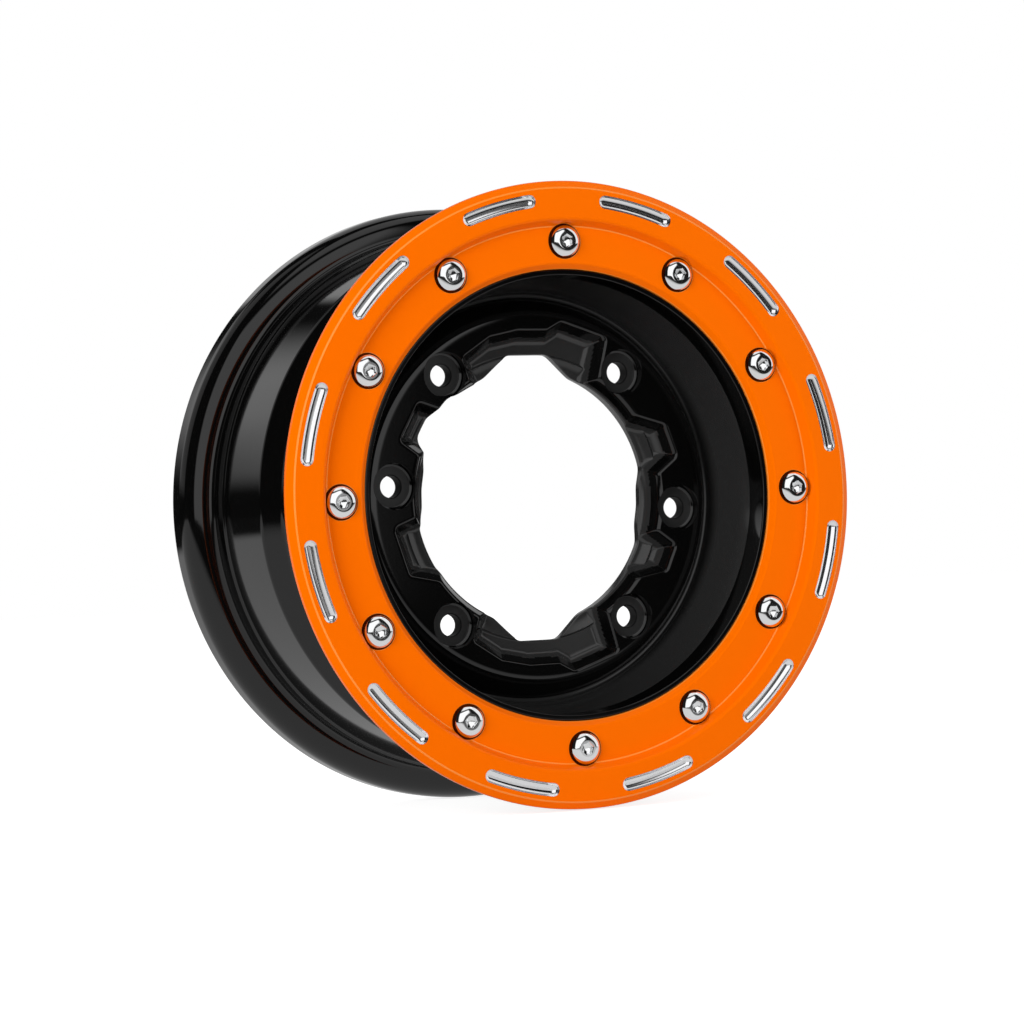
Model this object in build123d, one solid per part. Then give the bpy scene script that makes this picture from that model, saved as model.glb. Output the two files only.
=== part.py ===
from build123d import *
import math
import os

# Beadlock wheel for a small off-road vehicle: a cast wheel, a clamp ring and twelve screws.
# Lengths are in millimetres and angles in degrees. The spin axis is Y, the front looks towards -Y
# and Z is up. Depths run from the front face of the ring towards the back of the wheel, and clock
# angles run clockwise from the top as seen from the front.

# Wheel as a whole. The tyre's rim diameter and the width lead; the ring and the flanges follow them.
wheel_width = 140.0
rim_diameter = 252.6

# Clamp ring
ring_overhang = 13.7
ring_width = 39.0
raised_band_width = 17.7
ring_thickness = 12.5
shoulder_run = 2.5
band_recess = 4.7
ring_roll_run = 4.2
ring_roll_drop = 1.9
ring_edge_width = 2.1
ring_back_bevel = 6.5
ring_bore_bevel = 2.4

# Screws of the ring
screw_count = 12
screw_inset = 12.25
screw_diameter = 8.0
screw_length = 20.0
head_diameter = 14.0
head_height = 4.4
head_flat_diameter = 8.4
head_rim_height = 1.1
socket_across_flats = 5.0
socket_depth = 2.6
screw_hole_clearance = 0.5
counterbore_depth = 1.5
counterbore_clearance = 0.9

# Threaded inserts in the casting, one for each screw
insert_diameter = 12.0
insert_length = 14.0
insert_chamfer = 0.6
insert_clearance = 0.05
thread_clearance = 0.1
insert_hole_run_out = 2.5

# Milled grooves in the raised band, one between each two screws
groove_inset = 8.4
groove_length = 35.0
groove_width = 6.4
groove_depth = 2.4
groove_wall_angle = 40.0

# Front end of the casting, where the ring and the front bead of the tyre sit
pilot_clearance = 0.25
pilot_wall = 2.3
pilot_setback = 0.5
front_bead_drop = 4.8
front_bead_width = 10.0
front_shoulder_height = 6.0
front_shoulder_width = 4.5
front_shoulder_slope_run = 2.5
flange_wall = 8.0

# Barrel
well_drop = 10.9
well_setback = 8.0
well_width = 28.8
well_slope_run = 7.7
bead_seat_start_drop = 2.9
hump_width = 11.5
hump_height = 0.8
rear_flange_width = 18.5
rear_flange_height = 14.4
rear_flange_curl = 10.0
barrel_wall = 4.8
rear_flange_wall = 5.0

# Bowl and hub disc
dish_mouth_step = 2.75
dish_mouth_setback = 6.5
dish_side_taper = 2.5
dish_side_height = 10.5
dish_floor_taper = 5.0
dish_floor_drop = 14.7
bowl_wall = 5.4
disc_wall = 6.5
hub_face_depth = 39.8
hub_slope_width = 8.8
disc_thickness = 11.7
mounting_face_inset = 10.5
disc_back_width = 8.0

# Lug holes: four at the corners of a rectangle and two across the middle
lug_circle = 144.0
lug_corner_angle = 38.5
lug_middle_angle = 95.5
lug_hole_diameter = 10.0
lug_seat_diameter = 18.0
lug_pocket_diameter = 21.0
lug_pocket_depth = 5.2

# Centre opening, with an inner rim, wide scallops and a lobe at each middle lug
opening_diameter = 116.4
rim_outer_diameter = 130.0
rim_front_depth = 46.8
rim_edge_drop = 2.0
scallop_diameter = 132.0
scallop_angle = 9.0
scallop_flank_angle = 13.0
side_scallop_diameter = 127.0
side_scallop_start = 296.0
side_scallop_end = 316.0
side_scallop_flank_angle = 4.0
lobe_diameter = 110.8
lobe_angle = 9.0
lobe_flank_angle = 8.0
opening_corner_radius = 4.0

# Pockets between the lug bosses
pocket_depth = 8.0
pocket_draft = 36.0
pocket_corner_radius = 3.0
small_pocket_diameter = 148.0
wide_pocket_diameter = 153.6
wide_pocket_far_diameter = 163.5
wide_pocket_near_angle = 9.0
wide_pocket_near_inner_angle = 6.0
wide_pocket_far_angle = 11.0
wide_pocket_step_start = 33.0
wide_pocket_step_end = 28.0

# Each small pocket as the angles to its corners: from the middle lug at the opening and outside,
# then from the corner lug outside and at the opening
small_pockets = {
    ("middle_right", "top_right"): (11.0, 18.5, 26.0, 9.5),
    ("middle_right", "bottom_right"): (8.5, 13.5, 22.0, 7.0),
    ("middle_left", "bottom_left"): (11.0, 14.5, 24.5, 10.5),
    ("middle_left", "top_left"): (12.0, 16.0, 14.0, 8.5),
}

# Bosses round the inserts, seen in the deep gap at the back
insert_boss_diameter = 17.0
insert_boss_cover = 2.0

# Hole for a tyre valve, through the wall of the well
valve_hole_diameter = 11.5
valve_clock_angle = 45.0
valve_depth = 52.0

# Roundings of the turned profiles
edge_round = 1.0
cast_round = 3.0
hub_edge_round = 6.0

# Extra length of a cutting body past the face that it opens
cut_margin = 1.0

# Sizes that follow from the ones above
front_y = -wheel_width / 2
bead_seat_radius = rim_diameter / 2
ring_radius = bead_seat_radius + ring_overhang
ring_bore_radius = ring_radius - ring_width
screw_radius = screw_diameter / 2
screw_circle = 2 * (ring_bore_radius + screw_inset)
band_radius = ring_radius - raised_band_width
groove_circle = 2 * (ring_radius - groove_inset)
screw_seat_depth = band_recess + counterbore_depth
pilot_radius = ring_bore_radius - pilot_clearance
pilot_front_depth = band_recess + ring_bore_bevel + pilot_setback
front_bead_radius = bead_seat_radius - front_bead_drop
front_shoulder_radius = front_bead_radius + front_shoulder_height
front_bead_end = ring_thickness + front_bead_width
front_shoulder_end = front_bead_end + front_shoulder_slope_run + front_shoulder_width
well_radius = bead_seat_radius - well_drop
well_diameter = 2 * well_radius
well_start = front_shoulder_end + well_setback
well_end = well_start + well_width
bead_seat_low_radius = bead_seat_radius - bead_seat_start_drop
hump_radius = bead_seat_radius + hump_height
rear_flange_radius = bead_seat_radius + rear_flange_height
rear_flange_depth = wheel_width - rear_flange_width
hump_start = rear_flange_depth - hump_width
dish_mouth_radius = pilot_radius - dish_mouth_step
dish_mouth_depth = ring_thickness + dish_mouth_setback
dish_side_radius = dish_mouth_radius - dish_side_taper
dish_floor_radius = dish_mouth_radius - dish_floor_taper
dish_floor_depth = hub_face_depth + dish_floor_drop
dish_side_depth = dish_floor_depth - dish_side_height
hub_face_radius = dish_floor_radius - hub_slope_width
mounting_face_depth = hub_face_depth + disc_thickness
mounting_face_radius = dish_floor_radius - mounting_face_inset
opening_radius = opening_diameter / 2
rim_outer_radius = rim_outer_diameter / 2
lug_radius = lug_circle / 2
insert_hole_radius = insert_diameter / 2 + insert_clearance
insert_end_depth = ring_thickness + insert_length
screw_pitch_angle = 360.0 / screw_count
screw_angles = [index * screw_pitch_angle for index in range(screw_count)]
groove_angles = [angle + screw_pitch_angle / 2 for angle in screw_angles]
lug_angles = {
    "top_left": 360.0 - lug_corner_angle,
    "top_right": lug_corner_angle,
    "middle_right": lug_middle_angle,
    "bottom_right": 180.0 - lug_corner_angle,
    "bottom_left": 180.0 + lug_corner_angle,
    "middle_left": 180.0 + lug_middle_angle,
}


def plane_at(depth):
    """A plane across the wheel at a depth, seen from the front with X right and Z up."""
    return Plane(origin=(0, front_y + depth, 0), x_dir=(1, 0, 0), z_dir=(0, -1, 0))


def polar(radius, clock_angle):
    """A point in such a plane from its radius and clock angle."""
    turn = math.radians(clock_angle)
    return (radius * math.sin(turn), radius * math.cos(turn))


def turned(corners):
    """A solid turned about the spin axis. A corner is its radius, its depth and its rounding."""
    points = [(radius, front_y + depth) for radius, depth, rounding in corners]
    roundings = [rounding for radius, depth, rounding in corners]
    outline = FilletPolyline(*points, radius=roundings, close=True)
    return revolve(make_face(outline), Axis.Y)


def drilled(diameter, near_depth, far_depth, radius=0.0, clock_angle=0.0):
    """A round bar along the spin axis between two depths, to add or to cut away."""
    place = plane_at(far_depth) * Pos(*polar(radius, clock_angle))
    return extrude(place * Circle(diameter / 2), far_depth - near_depth)


def polygon_face(points, rounding):
    """A flat polygon with rounded corners."""
    return make_face(FilletPolyline(*points, radius=rounding, close=True))


def ring_profile():
    """The section of the clamp ring: rolled edge, raised band, shoulder and recessed band."""
    edge_front = ring_roll_drop
    edge_back = ring_roll_drop + ring_edge_width
    return [
        (ring_radius - ring_back_bevel, ring_thickness, 0.0),
        (ring_radius, edge_back, 0.0),
        (ring_radius, edge_front, edge_round),
        (ring_radius - ring_roll_run, 0.0, cast_round),
        (band_radius, 0.0, edge_round),
        (band_radius - shoulder_run, band_recess, edge_round),
        (ring_bore_radius + ring_bore_bevel, band_recess, 0.0),
        (ring_bore_radius, band_recess + ring_bore_bevel, 0.0),
        (ring_bore_radius, ring_thickness, 0.0),
    ]


def groove_cutter(clock_angle):
    """A curved groove with rounded ends and sloping walls, milled into the raised band."""
    half_sweep = math.degrees((groove_length - groove_width) / groove_circle)
    centre_line = CenterArc((0, 0), groove_circle / 2, 90 - clock_angle - half_sweep, 2 * half_sweep)
    outline = SlotArc(centre_line, groove_width)
    return extrude(plane_at(0.0) * outline, -groove_depth, taper=groove_wall_angle)


def build_ring():
    """The orange clamp ring with its grooves, screw holes and counterbores."""
    ring = turned(ring_profile())
    hole_diameter = screw_diameter + 2 * screw_hole_clearance
    counterbore_diameter = head_diameter + 2 * counterbore_clearance
    for angle in groove_angles:
        ring -= groove_cutter(angle)
    for angle in screw_angles:
        ring -= drilled(hole_diameter, -cut_margin, ring_thickness + cut_margin, screw_circle / 2, angle)
        ring -= drilled(counterbore_diameter, -cut_margin, screw_seat_depth, screw_circle / 2, angle)
    return ring


def build_screw():
    """A button head socket screw on the spin axis, with its head at the counterbore's floor."""
    top = screw_seat_depth - head_height
    tip = screw_seat_depth + screw_length
    rim = screw_seat_depth - head_rim_height
    head_radius = head_diameter / 2
    flat_radius = head_flat_diameter / 2
    dome_rise = rim - top
    bulge = 0.72
    shoulder = (
        flat_radius + (head_radius - flat_radius) * bulge,
        front_y + rim - dome_rise * bulge,
    )
    with BuildSketch() as section:
        with BuildLine():
            Polyline(
                (head_radius, front_y + rim),
                (head_radius, front_y + screw_seat_depth),
                (screw_radius, front_y + screw_seat_depth),
                (screw_radius, front_y + tip),
                (0, front_y + tip),
                (0, front_y + top),
                (flat_radius, front_y + top),
            )
            ThreePointArc((flat_radius, front_y + top), shoulder, (head_radius, front_y + rim))
        make_face()
    screw = revolve(section.sketch, Axis.Y)
    hexagon = RegularPolygon(socket_across_flats / 2, 6, major_radius=False)
    screw -= extrude(plane_at(top + socket_depth) * hexagon, socket_depth + cut_margin)
    return screw


def build_insert():
    """A threaded steel insert on the spin axis, flush with the casting's mounting face."""
    outer = insert_diameter / 2
    inner = screw_radius + thread_clearance
    front = ring_thickness
    return turned(
        [
            (inner, front, 0.0),
            (outer, front, 0.0),
            (outer, insert_end_depth - insert_chamfer, 0.0),
            (outer - insert_chamfer, insert_end_depth, 0.0),
            (inner, insert_end_depth, 0.0),
        ]
    )


def at_clock_angle(piece, clock_angle):
    """A piece made on the spin axis, moved out to the screw circle at a clock angle."""
    x, z = polar(screw_circle / 2, clock_angle)
    return Pos(x, 0, z) * piece


def front_end_profile():
    """From the pilot lip over the mounting face and the front bead's seat to the well."""
    return [
        (pilot_radius - pilot_wall, pilot_front_depth, 0.0),
        (pilot_radius, pilot_front_depth, 0.0),
        (pilot_radius, ring_thickness, 0.0),
        (front_bead_radius, ring_thickness, 0.0),
        (front_bead_radius, front_bead_end, 0.0),
        (front_shoulder_radius, front_bead_end + front_shoulder_slope_run, 0.0),
        (front_shoulder_radius, front_shoulder_end, 0.0),
        (well_radius, well_start, cast_round),
    ]


def barrel_profile():
    """The outside of the barrel: well, tapered bead seat, hump and curled rear flange."""
    return [
        (well_radius, well_end, cast_round),
        (bead_seat_low_radius, well_end + well_slope_run, cast_round),
        (bead_seat_radius, hump_start, 0.0),
        (hump_radius, hump_start + hump_height, 0.0),
        (hump_radius, rear_flange_depth, cast_round),
        (rear_flange_radius, rear_flange_depth, rear_flange_curl),
        (rear_flange_radius, wheel_width, edge_round),
    ]


def barrel_inside_profile():
    """The inside of the barrel, from the rear flange to the front wall of the deep gap."""
    gap_front = ring_thickness + flange_wall
    inner_flange_radius = rear_flange_radius - rear_flange_wall
    curl = rear_flange_curl - rear_flange_wall
    return [
        (inner_flange_radius, wheel_width, 0.0),
        (inner_flange_radius, rear_flange_depth + rear_flange_wall, curl),
        (hump_radius - barrel_wall, rear_flange_depth + rear_flange_wall, cast_round),
        (hump_radius - barrel_wall, hump_start, 0.0),
        (bead_seat_low_radius - barrel_wall, well_end + well_slope_run + barrel_wall, 0.0),
        (well_radius - barrel_wall, well_end + barrel_wall, 0.0),
        (well_radius - barrel_wall, gap_front, 0.0),
        (dish_mouth_radius + bowl_wall, gap_front, 0.0),
    ]


def disc_profile():
    """The bowl's outside, the back of the disc, the opening, and the bowl's inside."""
    disc_back = dish_floor_depth + disc_wall
    inner_radius = lobe_diameter / 2 - lobe_flank_angle
    bowl_low_radius = dish_floor_radius + bowl_wall + disc_wall / 4
    cone_foot = mounting_face_radius + (disc_back - mounting_face_depth) / 3
    return [
        (bowl_low_radius, disc_back - disc_wall, 0.0),
        (bowl_low_radius - disc_wall / 2, disc_back, cast_round),
        (cone_foot, disc_back, cast_round),
        (mounting_face_radius, mounting_face_depth, 0.0),
        (inner_radius, mounting_face_depth, 0.0),
        (inner_radius, hub_face_depth, 0.0),
        (hub_face_radius, hub_face_depth, hub_edge_round),
        (dish_floor_radius, dish_floor_depth, 0.0),
        (dish_side_radius, dish_side_depth, 0.0),
        (dish_mouth_radius, dish_mouth_depth, 0.0),
    ]


def opening_face():
    """The outline of the centre opening: a circle with scallops cut out and two lobes left in."""
    outline = Circle(opening_radius)
    for middle in (0.0, 180.0):
        foot = scallop_angle + scallop_flank_angle
        outline += polygon_face(
            [
                (0, 0),
                polar(opening_radius, middle - foot),
                polar(scallop_diameter / 2, middle - scallop_angle),
                polar(scallop_diameter / 2, middle + scallop_angle),
                polar(opening_radius, middle + foot),
            ],
            0.0,
        )
    side_middle = (side_scallop_start + side_scallop_end) / 2
    outline += polygon_face(
        [
            (0, 0),
            polar(opening_radius, side_scallop_start - side_scallop_flank_angle),
            polar(side_scallop_diameter / 2, side_scallop_start),
            polar(side_scallop_diameter / 2, side_middle),
            polar(side_scallop_diameter / 2, side_scallop_end),
            polar(opening_radius, side_scallop_end + side_scallop_flank_angle),
        ],
        0.0,
    )
    for name in ("middle_right", "middle_left"):
        middle = lug_angles[name]
        foot = lobe_angle + lobe_flank_angle
        reach = opening_radius + lobe_flank_angle
        outline -= polygon_face(
            [
                polar(reach, middle - foot),
                polar(lobe_diameter / 2, middle - lobe_angle),
                polar(lobe_diameter / 2, middle),
                polar(lobe_diameter / 2, middle + lobe_angle),
                polar(reach, middle + foot),
            ],
            0.0,
        )
    return fillet(outline.vertices(), opening_corner_radius)


def small_pocket(middle_name, corner_name):
    """A pocket between a middle boss and a corner boss, open towards the centre."""
    middle_inner, middle_outer, corner_outer, corner_inner = small_pockets[middle_name, corner_name]
    middle = lug_angles[middle_name]
    corner = lug_angles[corner_name]
    side = 1 if corner > middle else -1
    outer = small_pocket_diameter / 2
    deep = opening_radius - 2 * pocket_depth
    return [
        polar(deep, middle + side * middle_inner),
        polar(opening_radius, middle + side * middle_inner),
        polar(outer, middle + side * middle_outer),
        polar(outer, corner - side * corner_outer),
        polar(opening_radius, corner - side * corner_inner),
        polar(deep, corner - side * corner_inner),
    ]


def wide_pocket(right_name, left_name):
    """The wide pocket at the top or the bottom, deeper in radius towards the right."""
    right = lug_angles[right_name]
    left = lug_angles[left_name]
    if left > 270:
        left -= 360
    side = 1 if right > left else -1
    near = wide_pocket_diameter / 2
    far = wide_pocket_far_diameter / 2
    deep = opening_radius - 2 * pocket_depth
    return [
        polar(deep, left + side * wide_pocket_near_inner_angle),
        polar(opening_radius, left + side * wide_pocket_near_inner_angle),
        polar(near - pocket_corner_radius, left + side * wide_pocket_near_angle),
        polar(near, (left + right - side * wide_pocket_step_start) / 2),
        polar(near, right - side * wide_pocket_step_start),
        polar(far, right - side * wide_pocket_step_end),
        polar(far, right - side * wide_pocket_far_angle),
        polar(opening_radius, right - side * wide_pocket_far_angle / 2),
        polar(deep, right - side * wide_pocket_far_angle),
    ]


def pocket_cutter(points):
    """A pocket with sloping walls, cut into the hub face from the front."""
    face = plane_at(hub_face_depth) * polygon_face(points, pocket_corner_radius)
    return extrude(face, -pocket_depth, taper=pocket_draft)


def hub_pockets():
    """The six pockets between the lug bosses."""
    outlines = [small_pocket(middle, corner) for middle, corner in small_pockets]
    outlines.append(wide_pocket("top_right", "top_left"))
    outlines.append(wide_pocket("bottom_right", "bottom_left"))
    return [pocket_cutter(points) for points in outlines]


def inner_rim():
    """The raised rim round the opening, left standing in the pockets."""
    rim_edge_depth = rim_front_depth + rim_edge_drop
    inside = opening_radius - edge_round
    return turned(
        [
            (inside, rim_edge_depth, 0.0),
            (rim_outer_radius, rim_front_depth, 0.0),
            (rim_outer_radius, mounting_face_depth, 0.0),
            (inside, mounting_face_depth, 0.0),
        ]
    )


def insert_bosses():
    """Round bosses behind the mounting face, one for each insert."""
    end = insert_end_depth + insert_hole_run_out + insert_boss_cover
    bosses = [
        drilled(insert_boss_diameter, ring_thickness + flange_wall / 2, end, screw_circle / 2, angle)
        for angle in screw_angles
    ]
    inside_well = drilled(well_diameter - barrel_wall, ring_thickness + flange_wall / 2, end)
    return [boss & inside_well for boss in bosses]


def build_wheel():
    """The casting: barrel, bowl, hub disc with its bosses, and every machined hole."""
    profile = front_end_profile() + barrel_profile() + barrel_inside_profile() + disc_profile()
    wheel = turned(profile)
    for cutter in hub_pockets():
        wheel -= cutter
    wheel += inner_rim()
    through = wheel_width / 2
    wheel -= extrude(plane_at(through) * opening_face(), through)
    for boss in insert_bosses():
        wheel += boss
    for angle in screw_angles:
        run_out = insert_end_depth + insert_hole_run_out
        wheel -= drilled(2 * insert_hole_radius, 0.0, insert_end_depth, screw_circle / 2, angle)
        wheel -= drilled(screw_diameter + 2 * thread_clearance, 0.0, run_out, screw_circle / 2, angle)
    seat_depth = hub_face_depth + lug_pocket_depth
    for angle in lug_angles.values():
        wheel -= drilled(lug_pocket_diameter, hub_face_depth - cut_margin, seat_depth, lug_radius, angle)
        wheel -= drilled(lug_hole_diameter, seat_depth - cut_margin, through, lug_radius, angle)
    return wheel - valve_hole_cutter()


def valve_hole_cutter():
    """A round bar from inside the well's wall outwards, for the valve hole."""
    x, z = polar(1.0, valve_clock_angle)
    start = well_radius - 2 * barrel_wall
    origin = (start * x, front_y + valve_depth, start * z)
    return extrude(Plane(origin=origin, z_dir=(x, 0, z)) * Circle(valve_hole_diameter / 2), 4 * barrel_wall)


def main():
    """Builds each piece and writes it to its own file."""
    os.makedirs("parts", exist_ok=True)
    export_step(build_wheel(), "parts/wheel.step")
    export_step(build_ring(), "parts/beadlock_ring.step")
    screw = build_screw()
    insert = build_insert()
    for number, angle in enumerate(screw_angles, start=1):
        export_step(at_clock_angle(screw, angle), f"parts/bolt_{number:02d}.step")
        export_step(at_clock_angle(insert, angle), f"parts/insert_{number:02d}.step")


main()
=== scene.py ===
"""The look of a beadlock wheel: a gloss black casting, an orange clamp ring and twelve screws.

Lengths are in millimetres until a mesh is made, which is in metres. Depths run from the ring's front
face towards the back of the wheel, and clock angles run clockwise from the top, seen from the front.
"""

import logging
import math
from dataclasses import dataclass
from enum import Enum
from typing import Any, Sequence

import bmesh
import bpy
import numpy as np
from bpy.types import ID, Material, Node, NodeSocket, NodeTree, Object
from mathutils import Matrix, Vector


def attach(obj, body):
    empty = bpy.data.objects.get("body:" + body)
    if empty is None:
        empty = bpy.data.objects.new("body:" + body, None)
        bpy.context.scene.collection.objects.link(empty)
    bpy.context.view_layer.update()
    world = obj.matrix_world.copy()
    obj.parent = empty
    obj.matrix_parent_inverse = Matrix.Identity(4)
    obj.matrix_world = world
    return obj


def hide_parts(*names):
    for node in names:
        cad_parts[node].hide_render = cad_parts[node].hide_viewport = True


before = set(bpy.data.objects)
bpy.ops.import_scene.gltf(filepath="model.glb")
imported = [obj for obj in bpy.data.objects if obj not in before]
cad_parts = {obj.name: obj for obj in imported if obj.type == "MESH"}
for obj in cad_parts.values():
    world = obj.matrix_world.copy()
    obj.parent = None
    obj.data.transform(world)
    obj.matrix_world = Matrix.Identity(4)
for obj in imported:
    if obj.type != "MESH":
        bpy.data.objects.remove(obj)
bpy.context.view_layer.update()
LOG = logging.getLogger("beadlock_wheel")

METRE = 0.001
HALF_WIDTH = 70.0
BODY = "root"
FINISH_COUNT = 4
TINY = 1e-9
WHITE = "FFFFFF"
ARC_STEP = 9.0


# Small helpers for places, outlines and meshes


def place(radius: float, clock: float, depth: float) -> Vector:
    """Finds a point of the wheel in metres.

    Args:
        radius: distance from the spin axis in millimetres.
        clock: clock angle in degrees.
        depth: distance behind the ring's front face in millimetres.

    Returns:
        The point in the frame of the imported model.
    """
    turn = math.radians(clock)
    return Vector((radius * math.sin(turn), depth - HALF_WIDTH, radius * math.cos(turn))) * METRE


@dataclass(frozen=True)
class Corner:
    """A corner of a turned section, with its rounding and the finish of the run that follows it."""

    radius: float
    depth: float
    rounding: float = 0.0
    finish: int = 0


def rounded(entries: Sequence[tuple], closed: bool = True) -> tuple[list[tuple[float, float]], list[int]]:
    """Rounds the corners of a section with short arcs.

    Args:
        entries: for each corner in order its radius, depth, rounding and finish; the last two may be
            left out.
        closed: whether the last corner joins the first.

    Returns:
        The points as radius and depth, and the finish of the run that follows each point.
    """
    points: list[tuple[float, float]] = []
    finishes: list[int] = []
    corners = [Corner(*entry) for entry in entries]
    count = len(corners)
    for index, corner in enumerate(corners):
        here = Vector((corner.radius, corner.depth))
        is_end = index in (0, count - 1) and not closed
        if corner.rounding <= 0.0 or is_end:
            points.append(tuple(here))
            finishes.append(corner.finish)
            continue
        before, after = corners[index - 1], corners[(index + 1) % count]
        back = (Vector((before.radius, before.depth)) - here).normalized()
        ahead = (Vector((after.radius, after.depth)) - here).normalized()
        between = math.acos(max(-1.0, min(1.0, back.dot(ahead))))
        reach = corner.rounding / math.tan(between / 2)
        centre = here + (back + ahead).normalized() * (corner.rounding / math.sin(between / 2))
        start, end = here + back * reach - centre, here + ahead * reach - centre
        sweep = math.pi - between
        sign = 1.0 if start.x * end.y - start.y * end.x > 0 else -1.0
        steps = max(2, math.ceil(math.degrees(sweep) / ARC_STEP))
        for number in range(steps + 1):
            arm = Matrix.Rotation(sign * sweep * number / steps, 2) @ start
            points.append((centre.x + arm.x, centre.y + arm.y))
            finishes.append(corner.finish)
    return points, finishes


def linked(name: str, data: ID) -> Object:
    """Makes an object that is linked to the scene."""
    made = bpy.data.objects.new(name, data)
    bpy.context.scene.collection.objects.link(made)
    return made


def scrap(piece: Object) -> None:
    """Removes an object together with its mesh."""
    mesh = piece.data
    bpy.data.objects.remove(piece)
    bpy.data.meshes.remove(mesh)


def mesh_object(
    name: str, points: np.ndarray, faces: Sequence[Sequence[int]], finishes: Sequence[int]
) -> Object:
    """Makes an object from points in metres, with its faces turned outwards.

    Args:
        name: the object's name.
        points: one row of three numbers for each point.
        faces: the point numbers of each face.
        finishes: the finish number of each face.

    Returns:
        The new object, linked to the scene.
    """
    mesh = bpy.data.meshes.new(name)
    mesh.from_pydata(points.tolist(), [], [list(face) for face in faces])
    mesh.polygons.foreach_set("material_index", list(finishes))
    mesh.validate()
    mesh.update()
    work = bmesh.new()
    work.from_mesh(mesh)
    bmesh.ops.recalc_face_normals(work, faces=work.faces)
    work.to_mesh(mesh)
    work.free()
    return linked(name, mesh)


def band(low: int, high: int, count: int) -> list[tuple[int, ...]]:
    """Gives the faces between two closed loops of points.

    Args:
        low: number of the first loop's first point.
        high: number of the second loop's first point.
        count: how many points a loop has.

    Returns:
        One face of four points for each step round the loops.
    """
    steps = [(number, (number + 1) % count) for number in range(count)]
    return [(low + here, low + ahead, high + ahead, high + here) for here, ahead in steps]


def turned(name: str, entries: Sequence[tuple], segments: int) -> Object:
    """Turns a closed section about the spin axis.

    Args:
        name: the object's name.
        entries: the section's corners.
        segments: how many steps go round the axis.

    Returns:
        The turned object.
    """
    section, finishes = rounded(entries)
    outline = np.array(section)
    turns = np.linspace(0.0, 2 * np.pi, segments, endpoint=False)
    radius = outline[None, :, 0]
    x = radius * np.sin(turns)[:, None]
    z = radius * np.cos(turns)[:, None]
    y = np.broadcast_to(outline[None, :, 1] - HALF_WIDTH, x.shape)
    points = np.stack([x, y, z], axis=-1).reshape(-1, 3) * METRE
    count = len(outline)
    faces: list[tuple[int, ...]] = []
    for turn in range(segments):
        faces += band(turn * count, (turn + 1) % segments * count, count)
    return mesh_object(name, points, faces, finishes * segments)


def turned_bar(
    name: str, entries: Sequence[tuple], segments: int, radius: float = 0.0, clock: float = 0.0
) -> Object:
    """Turns an open section, whose ends lie on its own axis, about a line along the wheel's axis.

    Args:
        name: the object's name.
        entries: the section's corners, from its front end on the axis to its back end on the axis.
        segments: how many steps go round the axis.
        radius: the axis's distance from the spin axis in millimetres.
        clock: the axis's clock angle.

    Returns:
        The turned object.
    """
    centre = place(radius, clock, HALF_WIDTH)
    section, runs = rounded(entries, closed=False)
    first, *outline, last = section
    turns = [2 * math.pi * number / segments for number in range(segments)]
    points = [(centre.x, (first[1] - HALF_WIDTH) * METRE, centre.z)]
    for wide, depth in outline:
        y, reach = (depth - HALF_WIDTH) * METRE, wide * METRE
        points += [(centre.x + reach * math.sin(t), y, centre.z + reach * math.cos(t)) for t in turns]
    points.append((centre.x, (last[1] - HALF_WIDTH) * METRE, centre.z))
    tip, end = len(points) - 1, len(points) - 1 - segments
    faces: list[tuple[int, ...]] = [(0, 1 + n, 1 + (n + 1) % segments) for n in range(segments)]
    for row in range(len(outline) - 1):
        faces += band(1 + row * segments, 1 + (row + 1) * segments, segments)
    faces += [(end + n, tip, end + (n + 1) % segments) for n in range(segments)]
    finishes = [finish for finish in runs[:-1] for _ in range(segments)]
    return mesh_object(name, np.array(points), faces, finishes)


def stacked(name: str, loops: Sequence[np.ndarray], finish: int = 0) -> Object:
    """Makes a closed body from a stack of loops with as many points each.

    Args:
        name: the object's name.
        loops: the loops in order, in metres.
        finish: the finish number of every face.

    Returns:
        The body, capped at both ends.
    """
    count = len(loops[0])
    points = np.concatenate(loops)
    faces: list[tuple[int, ...]] = [tuple(range(count))]
    for level in range(len(loops) - 1):
        faces += band(level * count, (level + 1) * count, count)
    faces.append(tuple(range((len(loops) - 1) * count, len(loops) * count)))
    return mesh_object(name, points, faces, [finish] * len(faces))


def joined(name: str, pieces: Sequence[Object]) -> Object:
    """Joins pieces into one object and removes them.

    Args:
        name: the new object's name.
        pieces: the objects to join, with their places.

    Returns:
        The joined object.
    """
    work = bmesh.new()
    for piece in pieces:
        piece.data.transform(piece.matrix_world)
        work.from_mesh(piece.data)
    mesh = bpy.data.meshes.new(name)
    work.to_mesh(mesh)
    work.free()
    for piece in pieces:
        scrap(piece)
    return linked(name, mesh)


def cut(piece: Object, cutters: Sequence[Object]) -> None:
    """Cuts closed bodies out of a piece and removes them.

    Args:
        piece: the piece that is cut.
        cutters: the bodies that are taken away; their finish numbers stay on the new faces.
    """
    cutter = joined("cutters", cutters)
    # A stand-in material for each finish number carries that number through the cut
    for body in (piece, cutter):
        for number in range(FINISH_COUNT):
            name = f"finish_{number}"
            body.data.materials.append(bpy.data.materials.get(name) or bpy.data.materials.new(name))
    modifier = piece.modifiers.new("cut", "BOOLEAN")
    modifier.operation = "DIFFERENCE"
    modifier.solver = "EXACT"
    modifier.object = cutter
    modifier.material_mode = "TRANSFER"
    settle(piece)
    scrap(cutter)


def settle(piece: Object) -> None:
    """Applies a piece's modifiers to its mesh."""
    graph = bpy.context.evaluated_depsgraph_get()
    result = bpy.data.meshes.new_from_object(piece.evaluated_get(graph))
    old = piece.data
    piece.modifiers.clear()
    piece.data = result
    bpy.data.meshes.remove(old)


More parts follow.
